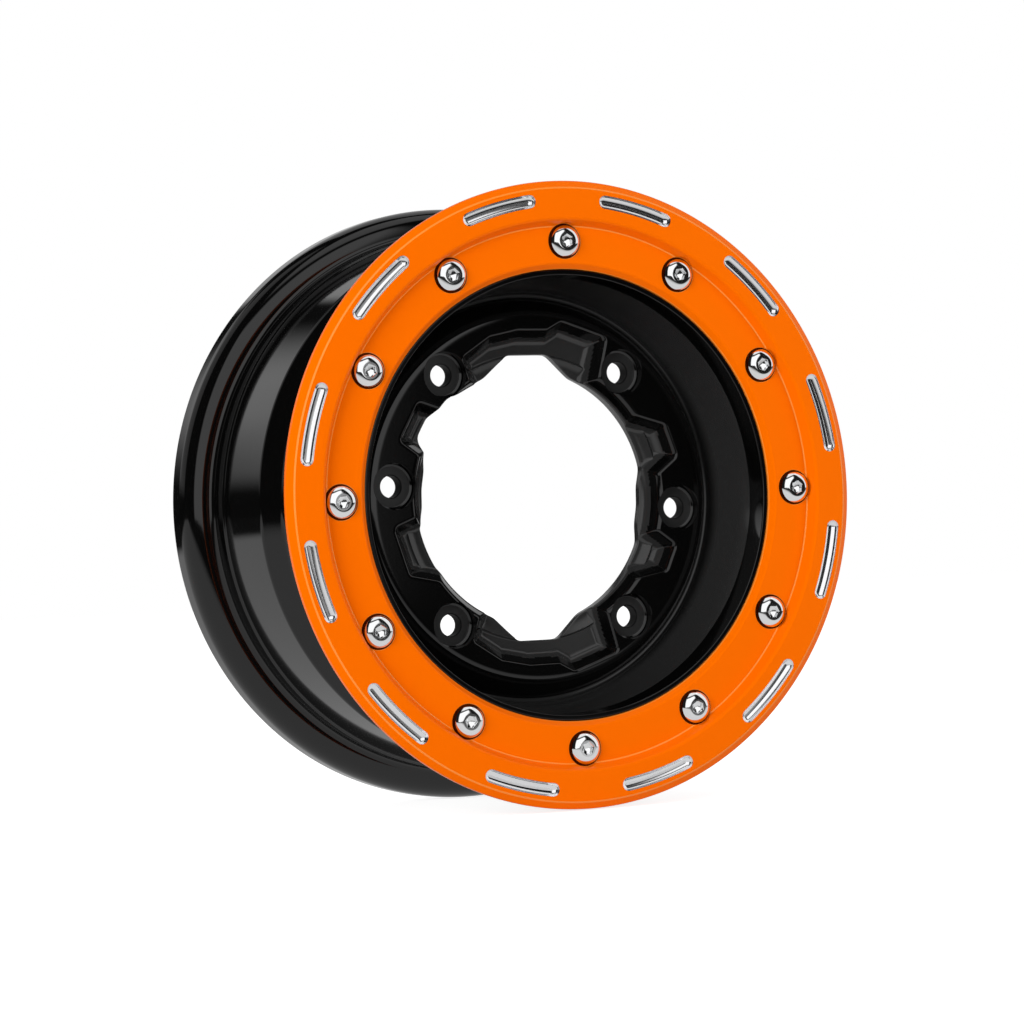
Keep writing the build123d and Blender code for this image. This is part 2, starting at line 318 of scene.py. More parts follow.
def finished(piece: Object, finishes: Sequence["Finish"], sharp: float = 32.0) -> None:
    """Shades a piece smoothly but for its sharp edges and large flats, and gives it its materials.

    Args:
        piece: the piece to finish.
        finishes: the finishes in the order of their numbers.
        sharp: the smallest turn between faces that stays a sharp edge, in degrees.
    """
    mesh = piece.data
    mesh.polygons.foreach_set("use_smooth", [True] * len(mesh.polygons))
    mesh.set_sharp_from_angle(angle=math.radians(sharp))
    modifier = piece.modifiers.new("flats", "WEIGHTED_NORMAL")
    modifier.mode = "FACE_AREA"
    modifier.keep_sharp = True
    settle(piece)
    mesh = piece.data
    numbers = np.zeros(len(mesh.polygons), dtype=np.int32)
    mesh.polygons.foreach_get("material_index", numbers)
    mesh.materials.clear()
    for finish in finishes:
        mesh.materials.append(finish.material())
    mesh.polygons.foreach_set("material_index", numbers)


def hand_over(piece: Object, nodes: Sequence[str]) -> None:
    """Lets a piece ride on the wheel and stand for its solids.

    Args:
        piece: the finished piece.
        nodes: the solids that the piece stands for.
    """
    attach(piece, BODY)
    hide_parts(*nodes)
    LOG.info("%s stands for %s with %d faces", piece.name, ", ".join(nodes), len(piece.data.polygons))


# Finishes


def linear(code: str) -> tuple[float, float, float, float]:
    """Turns a screen colour into the linear colour that a shader takes.

    Args:
        code: six hexadecimal digits, such as "FF6A00".

    Returns:
        Red, green, blue and an alpha of one.
    """
    values = []
    for start in (0, 2, 4):
        part = int(code[start:start + 2], 16) / 255
        values.append(part / 12.92 if part <= 0.04045 else ((part + 0.055) / 1.055) ** 2.4)
    return (values[0], values[1], values[2], 1.0)


def add_node(
    tree: NodeTree, kind: str, inputs: dict[int | str, Any] | None = None, **settings: Any
) -> Any:
    """Adds one node to a tree.

    Args:
        tree: the node tree.
        kind: the node's type name after "ShaderNode".
        inputs: for each input's name or number a value, an output socket, or a node whose first
            output feeds it.
        settings: the node's own properties.

    Returns:
        The new node.
    """
    node = tree.nodes.new("ShaderNode" + kind)
    for key, value in settings.items():
        setattr(node, key, value)
    for key, value in (inputs or {}).items():
        source = value.outputs[0] if isinstance(value, Node) else value
        if isinstance(source, NodeSocket):
            tree.links.new(source, node.inputs[key])
        else:
            node.inputs[key].default_value = source
    return node


@dataclass(frozen=True)
class Finish:
    """A finish: what the surface is made of and how it looks."""

    name: str
    colour: str
    roughness: float
    metallic: float = 0.0
    ior: float = 1.5
    gloss_tint: str = WHITE

    def material(self) -> Material:
        """Makes the material, or gives the one that was made before."""
        made = bpy.data.materials.get(self.name)
        if made is None:
            made = bpy.data.materials.new(self.name)
            made.use_nodes = True
            tree = made.node_tree
            shader = tree.nodes["Principled BSDF"]
            shader.inputs["Base Color"].default_value = linear(self.colour)
            shader.inputs["Metallic"].default_value = self.metallic
            shader.inputs["Roughness"].default_value = self.roughness
            if not self.metallic:
                shader.inputs["IOR"].default_value = self.ior
                shader.inputs["Specular Tint"].default_value = linear(self.gloss_tint)
            made.diffuse_color = linear(self.colour)
            made.roughness = self.roughness
            made.metallic = self.metallic
            self.detail(tree, shader)
        return made

    def detail(self, tree: NodeTree, shader: Node) -> None:
        """Adds the fine detail of the surface; a plain finish has none."""

    @staticmethod
    def lay_relief(
        tree: NodeTree,
        shader: Node,
        relief: Any,
        height: float,
        clouds: Any = None,
        rough: tuple[float, float] = (0.0, 0.0),
    ) -> None:
        """Lays a relief over any that is there, and lets clouds vary the roughness.

        Args:
            tree: the material's node tree.
            shader: the material's shader.
            relief: the node whose pattern stands up from the surface.
            height: the height of the relief in millimetres.
            clouds: the node whose pattern varies the roughness, or none.
            rough: the roughness where the clouds are thin and where they are thick.
        """
        normal = shader.inputs["Normal"]
        inputs = {"Strength": 1.0, "Distance": height * METRE, "Height": relief}
        if normal.is_linked:
            inputs["Normal"] = normal.links[0].from_socket
        tree.links.new(add_node(tree, "Bump", inputs).outputs[0], normal)
        if clouds is not None:
            low, high = rough
            inputs = {"Value": clouds, "From Min": 0.3, "From Max": 0.7, "To Min": low, "To Max": high}
            tree.links.new(add_node(tree, "MapRange", inputs).outputs[0], shader.inputs["Roughness"])

    @staticmethod
    def axis_distance(tree: NodeTree) -> NodeSocket:
        """Gives the socket with each point's distance from the spin axis in metres."""
        spot = add_node(tree, "TexCoord").outputs["Object"]
        flat = add_node(tree, "VectorMath", {0: spot, 1: (1.0, 0.0, 1.0)}, operation="MULTIPLY")
        return add_node(tree, "VectorMath", {0: flat}, operation="LENGTH").outputs["Value"]


@dataclass(frozen=True)
class PowderCoat(Finish):
    """A sprayed and baked powder coat: an even colour under a skin with a faint orange peel."""

    peel_width: float = 1.6
    peel_height: float = 0.004
    cloud_width: float = 35.0
    rough_spread: float = 0.05

    def detail(self, tree: NodeTree, shader: Node) -> None:
        """Adds the orange peel and slow clouds of gloss."""
        spot = add_node(tree, "TexCoord").outputs["Object"]
        grain = {"Vector": spot, "Scale": 1 / (self.peel_width * METRE), "Detail": 1.0, "Roughness": 0.4}
        peel = add_node(tree, "TexNoise", grain)
        drift = {"Vector": spot, "Scale": 1 / (self.cloud_width * METRE), "Detail": 2.0}
        clouds = add_node(tree, "TexNoise", drift)
        half = self.rough_spread / 2
        rough = (self.roughness - half, self.roughness + half)
        self.lay_relief(tree, shader, peel, self.peel_height, clouds, rough)


@dataclass(frozen=True)
class TurnedCoat(PowderCoat):
    """A powder coat over turned metal, so that fine rings of the lathe still catch the light."""

    ring_pitch: float = 0.9
    ring_height: float = 0.0015

    def detail(self, tree: NodeTree, shader: Node) -> None:
        """Adds fine rings round the spin axis over the orange peel."""
        super().detail(tree, shader)
        per_metre = 2 * math.pi / (self.ring_pitch * METRE)
        turns = add_node(tree, "Math", {0: self.axis_distance(tree), 1: per_metre}, operation="MULTIPLY")
        wave = add_node(tree, "Math", {0: turns}, operation="SINE")
        self.lay_relief(tree, shader, wave, self.ring_height)


@dataclass(frozen=True)
class MilledMetal(Finish):
    """Bare or plated metal: bright, with the fine lines that a cutter leaves round the spin axis."""

    line_pitch: float = 0.8
    line_height: float = 0.006
    rough_share: float = 0.3

    def detail(self, tree: NodeTree, shader: Node) -> None:
        """Adds the cutter's lines, with a little change of gloss."""
        grain = {"W": self.axis_distance(tree), "Scale": 1 / (self.line_pitch * METRE), "Detail": 2.0}
        lines = add_node(tree, "TexNoise", grain, noise_dimensions="1D")
        rough = (self.roughness * (1 - self.rough_share), self.roughness * (1 + self.rough_share))
        self.lay_relief(tree, shader, lines, self.line_height, lines, rough)


# Gloss black powder coat on cast aluminium: nearly no colour of its own, only reflections
BLACK_COAT = PowderCoat("gloss_black_powder_coat", "060606", 0.07, peel_height=0.002, rough_spread=0.02)
# The coat over the rough skin of the casting, in the bowl and the pockets: rougher, and lighter grey in
# colour as a painted sheen
BLACK_COAT_WITH_PAINTED_SHEEN = PowderCoat("black_coat_on_cast_skin_with_painted_sheen", "2A2A2A", 0.16, peel_height=0.004)
# The wall of a drilled hole, where the coat is a thin dull dusting: nearly black
DUSTED_BLACK_COAT = PowderCoat("thin_black_coat_in_holes", "050505", 0.65, ior=1.3)
# Orange powder coat on turned aluminium: a strong even colour, whose pigment tints the soft gloss too
ORANGE_COAT = TurnedCoat(
    "orange_powder_coat", "FF7000", 0.30, ior=1.45, gloss_tint="FF7A00", peel_height=0.002
)
# The same coat, paler along the turned edges: a painted highlight on the chamfers
ORANGE_HIGHLIGHT_PAINT = PowderCoat("orange_coat_with_painted_edge_highlight", "FF8E2C", 0.25)
# The same coat, darkened down in the counterbores and screw holes: painted shade, a dark red-brown ring
# round each screw head
ORANGE_PAINTED_SHADE = PowderCoat("orange_coat_painted_shade_in_counterbores", "5A1B00", 0.5, gloss_tint="FF7A00")
# Aluminium cut by a ball nose mill after coating: bright silver with lines along the cut
MILLED_ALUMINIUM = MilledMetal(
    "milled_aluminium", "F4F4F6", 0.13, metallic=1.0, line_pitch=1.0, line_height=0.0007
)
# Bright chrome plate on steel: a nearly clear mirror
BRIGHT_CHROME = MilledMetal(
    "bright_chrome_plate", "F2F3F4", 0.08, metallic=1.0, line_pitch=2.0, line_height=0.0008
)
# Plain turned steel of the threaded inserts
TURNED_STEEL = MilledMetal("turned_steel", "B9B8B4", 0.35, metallic=1.0)


class RingFinish(Enum):
    """The finish numbers on the clamp ring."""

    COAT = 0
    # A paler colour along the chamfers: a painted highlight
    PAINTED_EDGE_HIGHLIGHT = 1
    BARE = 2
    # A darker colour down in the counterbores and holes: painted shade
    SHADE = 3


# The clamp ring


@dataclass
class ClampRing:
    """The orange ring with its raised band, milled grooves and counterbored screw holes."""

    outer_radius: float = 140.0
    bore_radius: float = 101.0
    thickness: float = 12.5
    band_radius: float = 122.3
    recess: float = 4.7
    screw_circle_radius: float = 113.25
    screw_count: int = 12
    hole_radius: float = 4.5
    counterbore_radius: float = 7.9
    seat_depth: float = 6.2
    groove_radius: float = 131.6
    groove_half_sweep: float = 6.75
    groove_half_width: float = 3.0
    groove_depth: float = 2.35
    groove_wall_turn: float = 80.0
    groove_steps: int = 8
    groove_end_steps: int = 12
    edge_width: float = 0.25
    cutter_start: float = -0.8
    segments: int = 720
    hole_segments: int = 64

    def section(self) -> list[tuple]:
        """Gives the ring's section, with painted highlight bands where an edge is chamfered."""
        # The edge finish paints a highlight along the chamfers
        edge = RingFinish.PAINTED_EDGE_HIGHLIGHT.value
        return [
            (133.5, self.thickness, 0.6), (self.outer_radius, 4.2, 0.5), (self.outer_radius, 1.9, 0.9),
            (137.1, 0.4, 0.3, edge), (136.3, 0.0, 0.3), (self.band_radius + 0.35, 0.0, 2.2),
            (120.2, self.recess - 0.35, 0.0, edge), (119.6, self.recess, 0.0), (103.8, self.recess, 0.3),
            (103.1, 5.0, 0.3), (self.bore_radius, 7.0, 0.7, edge),
            (self.bore_radius, self.thickness, 0.4),
        ]

    def groove(self, clock: float) -> Object:
        """Makes the body that mills one groove.

        Args:
            clock: clock angle of the groove's middle.

        Returns:
            The cutter, with the bare finish.
        """
        sweep, steps = self.groove_half_sweep, self.groove_steps
        levels = [(self.groove_half_width, self.cutter_start), (self.groove_half_width, 0.0)]
        for number in range(1, steps + 1):
            turn = math.radians(self.groove_wall_turn * number / steps)
            levels.append((self.groove_half_width * math.cos(turn), self.groove_depth * math.sin(turn)))
        loops = []
        for half, depth in levels:
            loop = []
            for way in (1, -1):
                for number in range(2 * steps + 1):
                    at = clock + way * (sweep * number / steps - sweep)
                    loop.append(place(self.groove_radius + way * half, at, depth))
                end = clock + way * sweep
                middle = place(self.groove_radius, end, depth)
                out = place(way * half, end, HALF_WIDTH)
                along = place(way * half, end + 90, HALF_WIDTH)
                for number in range(1, self.groove_end_steps):
                    turn = math.pi * number / self.groove_end_steps
                    loop.append(middle + out * math.cos(turn) + along * math.sin(turn))
            loops.append(np.array(loop))
        return stacked("groove_cutter", loops, RingFinish.BARE.value)

    def screw_hole(self, clock: float) -> Object:
        """Makes the body that bores one screw hole and its counterbore.

        Args:
            clock: clock angle of the hole.

        Returns:
            The cutter, with a painted highlight on its rim at the recessed band and painted shade down the
            counterbore and hole.
        """
        # Pale rim: a painted highlight; counterbore and hole: painted shade
        edge, shade = RingFinish.PAINTED_EDGE_HIGHLIGHT.value, RingFinish.SHADE.value
        section = [
            (0.0, -2.0), (self.counterbore_radius + self.edge_width, -2.0),
            (self.counterbore_radius + self.edge_width, self.recess, 0.0, edge),
            (self.counterbore_radius, self.recess + self.edge_width, 0.0, shade),
            (self.counterbore_radius, self.seat_depth, 0.4, shade),
            (self.hole_radius, self.seat_depth, 0.0, shade), (self.hole_radius, self.thickness + 1.0),
            (0.0, self.thickness + 1.0),
        ]
        return turned_bar("screw_hole_cutter", section, self.hole_segments, self.screw_circle_radius, clock)

    def build(self) -> None:
        """Turns the ring, bores its holes and mills its grooves."""
        ring = turned("clamp_ring", self.section(), self.segments)
        pitch = 360.0 / self.screw_count
        cutters = [self.screw_hole(pitch * number) for number in range(self.screw_count)]
        cutters += [self.groove(pitch * (number + 0.5)) for number in range(self.screw_count)]
        cut(ring, cutters)
        finished(ring, (ORANGE_COAT, ORANGE_HIGHLIGHT_PAINT, MILLED_ALUMINIUM, ORANGE_PAINTED_SHADE))
        hand_over(ring, ["beadlock_ring"])


# The screws


@dataclass
class ButtonScrew:
    """A plated button head screw with a hexagon socket."""

    head_radius: float = 7.0
    flat_radius: float = 4.2
    head_height: float = 4.4
    rim_height: float = 2.6
    dome_start: float = 12.0
    dome_end: float = 54.0
    shank_radius: float = 4.0
    shank_length: float = 20.0
    socket_radius: float = 2.887
    socket_depth: float = 2.6
    socket_flare: float = 1.2
    socket_edge: float = 0.25
    point_share: float = 0.25
    point_length: float = 0.8
    top_edge: float = 0.6
    rim_edge: float = 0.25
    dome_steps: int = 9
    seat_depth: float = 6.2
    circle_radius: float = 113.25
    count: int = 12
    turn_step: float = 23.0
    sharp: float = 28.0
    segments: int = 72

    def section(self) -> list[tuple]:
        """Gives the screw's section: flat top, domed head, rim and shank."""
        top = self.seat_depth - self.head_height
        rim = self.seat_depth - self.rim_height
        corners: list[tuple] = [(0.0, top), (self.flat_radius - self.top_edge, top)]
        first, last = math.radians(self.dome_start), math.radians(self.dome_end)
        width = self.head_radius - self.flat_radius
        for number in range(self.dome_steps + 1):
            turn = first + (last - first) * number / self.dome_steps
            share = (math.sin(turn) - math.sin(first)) / (math.sin(last) - math.sin(first))
            drop = (math.cos(first) - math.cos(turn)) / (math.cos(first) - math.cos(last))
            corners.append((self.flat_radius + width * share, top + (rim - top) * drop))
        return corners + [
            (self.head_radius, self.seat_depth - self.rim_edge),
            (self.head_radius - self.rim_edge, self.seat_depth), (self.shank_radius, self.seat_depth),
            (self.shank_radius, self.seat_depth + self.shank_length),
            (0.0, self.seat_depth + self.shank_length),
        ]

    def socket(self) -> Object:
        """Makes the body that presses the hexagon socket, with a drill point at its end."""
        top = self.seat_depth - self.head_height
        floor = top + self.socket_depth
        levels = (
            (self.socket_radius + self.socket_flare, top - 1.0),
            (self.socket_radius, top + self.socket_edge),
            (self.socket_radius, floor),
            (self.socket_radius * self.point_share, floor + self.point_length),
        )
        clocks = [60.0 * side for side in range(6)]
        loops = [np.array([place(radius, clock, depth) for clock in clocks]) for radius, depth in levels]
        return stacked("socket_cutter", loops)

    def build(self) -> None:
        """Makes one screw and sets it in each hole, turned as it happened to be tightened."""
        first = turned_bar("screw_01", self.section(), self.segments)
        cut(first, [self.socket()])
        finished(first, [BRIGHT_CHROME], self.sharp)
        for number in range(self.count):
            screw = linked(f"screw_{number + 1:02d}", first.data) if number else first
            turn = Matrix.Rotation(math.radians(self.turn_step * number % 60), 4, "Y")
            centre = place(self.circle_radius, 360.0 / self.count * number, HALF_WIDTH)
            screw.matrix_world = Matrix.Translation(centre) @ turn
            hand_over(screw, [f"bolt_{number + 1:02d}"])


# The casting


class CastFinish(Enum):
    """The finish numbers on the casting."""

    GLOSS = 0
    # Rougher cast skin, whose lighter grey colour is a painted sheen
    SKIN_WITH_PAINTED_SHEEN = 1
    DUST = 2


@dataclass
class Barrel:
    """The barrel and bowl of the casting, turned round the spin axis."""

    rear_flange_radius: float = 140.65
    rear_flange_depth: float = 121.5
    width: float = 140.0
    hump_radius: float = 127.1
    bead_seat_radius: float = 126.3
    bead_seat_low_radius: float = 123.4
    well_radius: float = 115.4
    dish_floor_radius: float = 93.0
    dish_floor_depth: float = 54.5
    boss_radius: float = 8.2
    boss_end: float = 31.0
    boss_start: float = 18.0
    insert_count: int = 12
    screw_circle_radius: float = 113.25
    insert_radius: float = 6.05
    insert_start: float = 11.0
    insert_end: float = 26.5
    valve_radius: float = 5.75
    valve_clock: float = 45.0
    valve_depth: float = 52.0
    valve_segments: int = 48
    segments: int = 384
    hole_segments: int = 32
    boss_segments: int = 48

    def section(self) -> list[tuple]:
        """Gives the closed section of the barrel, the front flange and the bowl."""
        # The bowl wall takes the rough skin with its grey painted sheen
        skin_sheen_painted = CastFinish.SKIN_WITH_PAINTED_SHEEN.value
        return [
            (98.45, 7.6, 0.5), (100.75, 7.6, 0.5), (100.75, 12.5), (121.5, 12.5, 0.6), (121.5, 22.5, 0.8),
            (127.5, 25.0, 1.0), (127.5, 29.5, 1.5), (self.well_radius, 37.5, 4.0),
            (self.well_radius, 66.3, 4.0), (self.bead_seat_low_radius, 74.0, 3.0),
            (self.bead_seat_radius, 110.0, 0.5), (self.hump_radius, 110.8, 0.5),
            (self.hump_radius, self.rear_flange_depth, 3.0),
            (self.rear_flange_radius, self.rear_flange_depth, 10.0),
            (self.rear_flange_radius, self.width, 1.6), (135.7, self.width, 1.2), (135.7, 126.5, 5.0),
            (122.3, 126.5, 4.0), (122.3, 110.0, 8.0), (118.6, 78.8, 8.0), (110.6, 71.1, 6.0),
            (110.6, 20.5, 3.0), (103.4, 20.5, 3.0), (100.0, 54.5, 8.0), (96.8, 61.0, 3.0), (90.0, 61.0),
            (90.0, 57.5), (90.7, 51.2), (self.dish_floor_radius, self.dish_floor_depth, 1.4, skin_sheen_painted),
            (95.5, 44.0, 12.0, skin_sheen_painted), (98.0, 19.0, 8.0),
        ]

    def insert_hole(self, clock: float) -> Object:
        """Makes the body that bores the hole of one threaded insert."""
        section = [
            (0.0, self.insert_start), (self.insert_radius, self.insert_start),
            (self.insert_radius, self.insert_end), (0.0, self.insert_end),
        ]
        return turned_bar("insert_cutter", section, self.hole_segments, self.screw_circle_radius, clock)

    def valve_hole(self) -> Object:
        """Makes the body that drills the valve hole through the wall of the well."""
        out = place(1.0, self.valve_clock, HALF_WIDTH) / METRE
        side = Vector((0.0, 1.0, 0.0))
        across = out.cross(side)
        loops = []
        for radius in (103.0, 121.0):
            middle = place(radius, self.valve_clock, self.valve_depth)
            loop = []
            for number in range(self.valve_segments):
                turn = 2 * math.pi * number / self.valve_segments
                arm = side * math.cos(turn) + across * math.sin(turn)
                loop.append(middle + arm * self.valve_radius * METRE)
            loops.append(np.array(loop))
        return stacked("valve_hole_cutter", loops)

    def clocks(self) -> list[float]:
        """Gives the clock angles of the inserts."""
        return [360.0 / self.insert_count * number for number in range(self.insert_count)]

    def bosses(self) -> None:
        """Makes the bosses round the inserts, which show in the deep gap at the back."""
        section = [
            (0.0, self.insert_end), (self.insert_radius, self.insert_end),
            (self.insert_radius, self.boss_start), (self.boss_radius, self.boss_start),
            (self.boss_radius, self.boss_end, 1.2), (0.0, self.boss_end),
        ]
        radius, segments = self.screw_circle_radius, self.boss_segments
        made = [turned_bar("boss", section, segments, radius, clock) for clock in self.clocks()]
        bosses = joined("casting_insert_bosses", made)
        finished(bosses, [BLACK_COAT])
        hand_over(bosses, ["wheel"])

    def build(self) -> None:
        """Turns the barrel, drills its holes and adds the bosses."""
        barrel = turned("casting_barrel", self.section(), self.segments)
        cutters = [self.insert_hole(clock) for clock in self.clocks()] + [self.valve_hole()]
        cut(barrel, cutters)
        finished(barrel, [BLACK_COAT, BLACK_COAT_WITH_PAINTED_SHEEN])
        hand_over(barrel, ["wheel"])
        self.bosses()


@dataclass(frozen=True)
class Pocket:
    """A pocket of the hub disc: the clock angle and radius of each corner of its outline, in order."""

    outline: tuple[tuple[float, float], ...]
    rounding: float = 3.0

    def corners(self) -> list[tuple[float, float]]:
        """Gives X and Z of each corner in millimetres, moved inwards by the rounding."""
        ends = [
            Vector((radius * math.sin(math.radians(clock)), radius * math.cos(math.radians(clock))))
            for clock, radius in self.outline
        ]
        area = sum(a.x * b.y - b.x * a.y for a, b in zip(ends, ends[1:] + ends[:1]))
        side = 1.0 if area > 0 else -1.0
        moved = []
        for index, here in enumerate(ends):
            into = (here - ends[index - 1]).normalized()
            out = (ends[(index + 1) % len(ends)] - here).normalized()
            normal_in = Vector((-into.y, into.x)) * side
            normal_out = Vector((-out.y, out.x)) * side
            middle = (normal_in + normal_out).normalized()
            moved.append(tuple(here + middle * (self.rounding / middle.dot(normal_in))))
        return moved

    def inside(self, x: np.ndarray, z: np.ndarray) -> np.ndarray:
        """Measures how far points lie inside the rounded outline.

        Args:
            x: the points' X in millimetres.
            z: the points' Z in millimetres.

        Returns:
            The distance to the outline, positive inside and negative outside.
        """
        ends = self.corners()
        best = np.full(x.shape, np.inf)
        within = np.zeros(x.shape, dtype=bool)
        for index, (ax, az) in enumerate(ends):
            bx, bz = ends[(index + 1) % len(ends)]
            ex, ez = bx - ax, bz - az
            share = np.clip(((x - ax) * ex + (z - az) * ez) / (ex * ex + ez * ez), 0.0, 1.0)
            best = np.minimum(best, np.hypot(x - ax - share * ex, z - az - share * ez))
            crosses = (az > z) != (bz > z)
            edge = ax + (z - az) * ex / (ez if abs(ez) > TINY else TINY)
            within ^= crosses & (x < edge)
        return np.where(within, best, -best) + self.rounding


@dataclass
class HubDisc:
    """The hub disc of the casting: lug bosses, pockets between them and the scalloped opening."""

    face_depth: float = 39.8
    face_radius: float = 84.2
    edge_round: float = 6.0
    rim_radius: float = 93.0
    rim_depth: float = 54.5
    floor_depth: float = 47.8
    floor_round: float = 2.2
    wall_run: float = 5.8
    wall_round: float = 0.9
    floor_rise: float = 1.2
    ledge_radius: float = 65.0
    ledge_depth: float = 46.8
    ledge_fall: float = 8.0
    ledge_round: float = 0.5
    opening_radius: float = 58.2
    opening_depth: float = 48.8
    deepest: float = 49.5
    slope_round: float = 0.6
    roll_radius: float = 62.5
    roll_round: float = 2.4
    roll_blend: float = 1.2
    lip_round: float = 0.45
    lip_middle: float = 0.13
    back_depth: float = 51.5
    back_round: float = 0.5
    back_middle: float = 0.15
    lug_circle_radius: float = 72.0
    lug_clocks: tuple[float, ...] = (321.5, 38.5, 95.5, 141.5, 218.5, 275.5)
    lug_hole_radius: float = 5.0
    lug_pocket_radius: float = 10.5
    lug_seat_depth: float = 45.0
    cut_start: float = 36.0
    cut_end: float = 55.0
    scallop_round: float = 1.4
    scallop_reach: float = 4.5
    sunk_above_ledge: float = 2.2
    sunk_before_back: float = 1.0
    sunk_radius: float = 80.0
    # Clock angle and radius of each corner of the opening, clockwise over the whole circle
    opening: tuple[tuple[float, float], ...] = (
        (351.0, 66.0), (369.0, 66.0), (382.0, 58.2), (438.5, 58.2), (446.5, 55.4), (455.5, 55.4),
        (464.5, 55.4), (472.5, 58.2), (518.0, 58.2), (531.0, 66.0), (549.0, 66.0), (562.0, 58.2),
        (618.5, 58.2), (626.5, 55.4), (635.5, 55.4), (644.5, 55.4), (652.0, 58.2), (656.5, 63.6),
        (666.0, 63.8), (676.0, 63.6), (681.0, 61.0), (698.0, 59.0),
    )
    # Clock angles of each small pocket: its start, both ends of its outer wall, and its end
    small_pockets: tuple[tuple[float, ...], ...] = (
        (48.0, 64.5, 77.0, 84.5), (104.0, 109.0, 119.5, 134.5),
        (229.0, 243.0, 261.0, 264.5), (287.5, 291.5, 307.5, 313.0),
    )
    small_pocket_radius: float = 74.0
    pocket_start_radius: float = 42.0
    # The wide pocket at the top, whose mirror image is at the bottom
    wide_pocket: tuple[tuple[float, float], ...] = (
        (327.5, 42.0), (327.5, 58.2), (330.5, 73.8), (343.5, 76.8), (354.5, 76.9),
        (5.5, 76.8), (10.5, 81.75), (27.5, 81.75), (33.0, 58.2), (27.5, 42.0),
    )
    # Radius and depth of each ring of the disc's back, out to where it meets the barrel
    back: tuple[tuple[float, float], ...] = (
        (68.0, 51.5), (76.0, 51.5), (82.1, 51.5), (82.5, 51.9), (84.9, 58.6),
        (85.5, 60.0), (86.4, 60.8), (87.5, 61.0), (90.0, 61.0), (90.0, 57.5),
    )
    segments: int = 900
    hole_segments: int = 96
    inner_rows: int = 24
    outer_rows: int = 52
    split_radius: float = 67.5
    sharp: float = 40.0

    def pockets(self) -> list[Pocket]:
        """Gives the outlines of all six pockets."""
        start, edge, wall = self.pocket_start_radius, self.opening_radius, self.small_pocket_radius
        made = [
            Pocket(((a, start), (a, edge), (b, wall), (c, wall), (d, edge), (d, start)))
            for a, b, c, d in self.small_pockets
        ]
        mirrored = tuple((180.0 - clock, radius) for clock, radius in self.wide_pocket)
        return [*made, Pocket(self.wide_pocket), Pocket(mirrored)]

    def opening_at(self, clocks: np.ndarray) -> np.ndarray:
        """Finds the opening's radius all round.

        Args:
            clocks: even steps of clock angle over the whole circle, in degrees.

        Returns:
            The radius for each angle, with rounded corners.
        """
        ends = list(self.opening) + [(self.opening[0][0] + 360, self.opening[0][1])]
        start = ends[0][0]
        wrapped = (clocks - start) % 360 + start
        radius = np.zeros_like(clocks)
        for (a, ra), (b, rb) in zip(ends, ends[1:]):
            on = (wrapped >= a) & (wrapped <= b)
            if ra == rb == self.opening_radius:
                radius[on] = self.opening_radius
                continue
            ta, tb, t = math.radians(a), math.radians(b), np.radians(wrapped[on])
            radius[on] = ra * rb * math.sin(tb - ta) / (ra * np.sin(t - ta) + rb * np.sin(tb - t))
        step = 360 / len(clocks)
        reach = int(self.scallop_reach / step)
        shifts = range(-reach, reach + 1)
        weights = np.exp(-0.5 * (np.array(shifts) * step / self.scallop_round) ** 2)
        weights /= weights.sum()
        return sum(weight * np.roll(radius, shift) for shift, weight in zip(shifts, weights))

    @staticmethod
    def soft_min(a: np.ndarray, b: np.ndarray | float, width: float) -> np.ndarray:
        """Takes the smaller of two fields, with a rounding where they meet."""
        mix = np.clip(0.5 + 0.5 * (b - a) / width, 0.0, 1.0)
        return b * (1 - mix) + a * mix - width * mix * (1 - mix)

    @classmethod
    def soft_max(cls, a: np.ndarray, b: np.ndarray | float, width: float) -> np.ndarray:
        """Takes the larger of two fields, with a rounding where they meet."""
        return -cls.soft_min(-a, -b, width)

    def front(self, radius: np.ndarray, turn: np.ndarray) -> np.ndarray:
        """Finds the depth of the disc's front surface.

        Args:
            radius: the points' radii in millimetres.
            turn: the points' clock angles in radians.

        Returns:
            The depth at each point in millimetres.
        """
        x, z = radius * np.sin(turn), radius * np.cos(turn)
        slope = (self.rim_depth - self.face_depth) / (self.rim_radius - self.face_radius)
        tilt = math.atan(slope)
        start = self.face_radius - self.edge_round * math.tan(tilt / 2)
        reach = np.clip(radius - start, 0.0, self.edge_round * math.sin(tilt))
        arc = self.edge_round - np.sqrt(self.edge_round ** 2 - reach ** 2)
        straight = np.maximum(radius - start - self.edge_round * math.sin(tilt), 0.0) * slope
        face = self.face_depth + arc + straight
        full = self.floor_depth - self.face_depth
        lean = np.clip((radius - self.ledge_radius) / (self.face_radius - self.ledge_radius), 0.0, 1.0)
        floor = self.floor_depth - self.floor_rise * lean
        drop = np.zeros_like(radius)
        for pocket in self.pockets():
            wall = pocket.inside(x, z) * full / self.wall_run
            drop = np.maximum(drop, self.soft_max(wall, 0.0, self.wall_round))
        roll = (self.roll_radius - radius) / (self.roll_radius - self.opening_radius)
        rolled = self.soft_max(roll * (self.ledge_depth - self.face_depth), 0.0, self.roll_round)
        drop = self.soft_max(drop, rolled, self.roll_blend)
        pocketed = self.soft_min(self.face_depth + drop, floor, self.floor_round)
        share = (self.ledge_radius - radius) / (self.ledge_radius - self.opening_radius)
        fall = np.where(share > 0, self.opening_depth - self.ledge_depth, -self.ledge_fall)
        pocketed = self.soft_min(pocketed, self.ledge_depth + share * fall, self.ledge_round)
        return self.soft_max(face, np.minimum(pocketed, self.deepest), self.slope_round)

    def rows(self) -> list[np.ndarray]:
        """Gives the rings of points over the whole disc, from the dish floor round to its back.

        Returns:
            One array of points in metres for each ring.
        """
        clocks = np.arange(self.segments) * 360 / self.segments
        turns = np.radians(clocks)
        edge = self.opening_at(clocks)

        def ring(radius: np.ndarray | float, depth: np.ndarray | float) -> np.ndarray:
            """Sets one ring of points at a radius and depth."""
            wide = np.broadcast_to(radius, turns.shape)
            deep = np.broadcast_to(depth, turns.shape)
            return np.stack([wide * np.sin(turns), deep - HALF_WIDTH, wide * np.cos(turns)], -1) * METRE

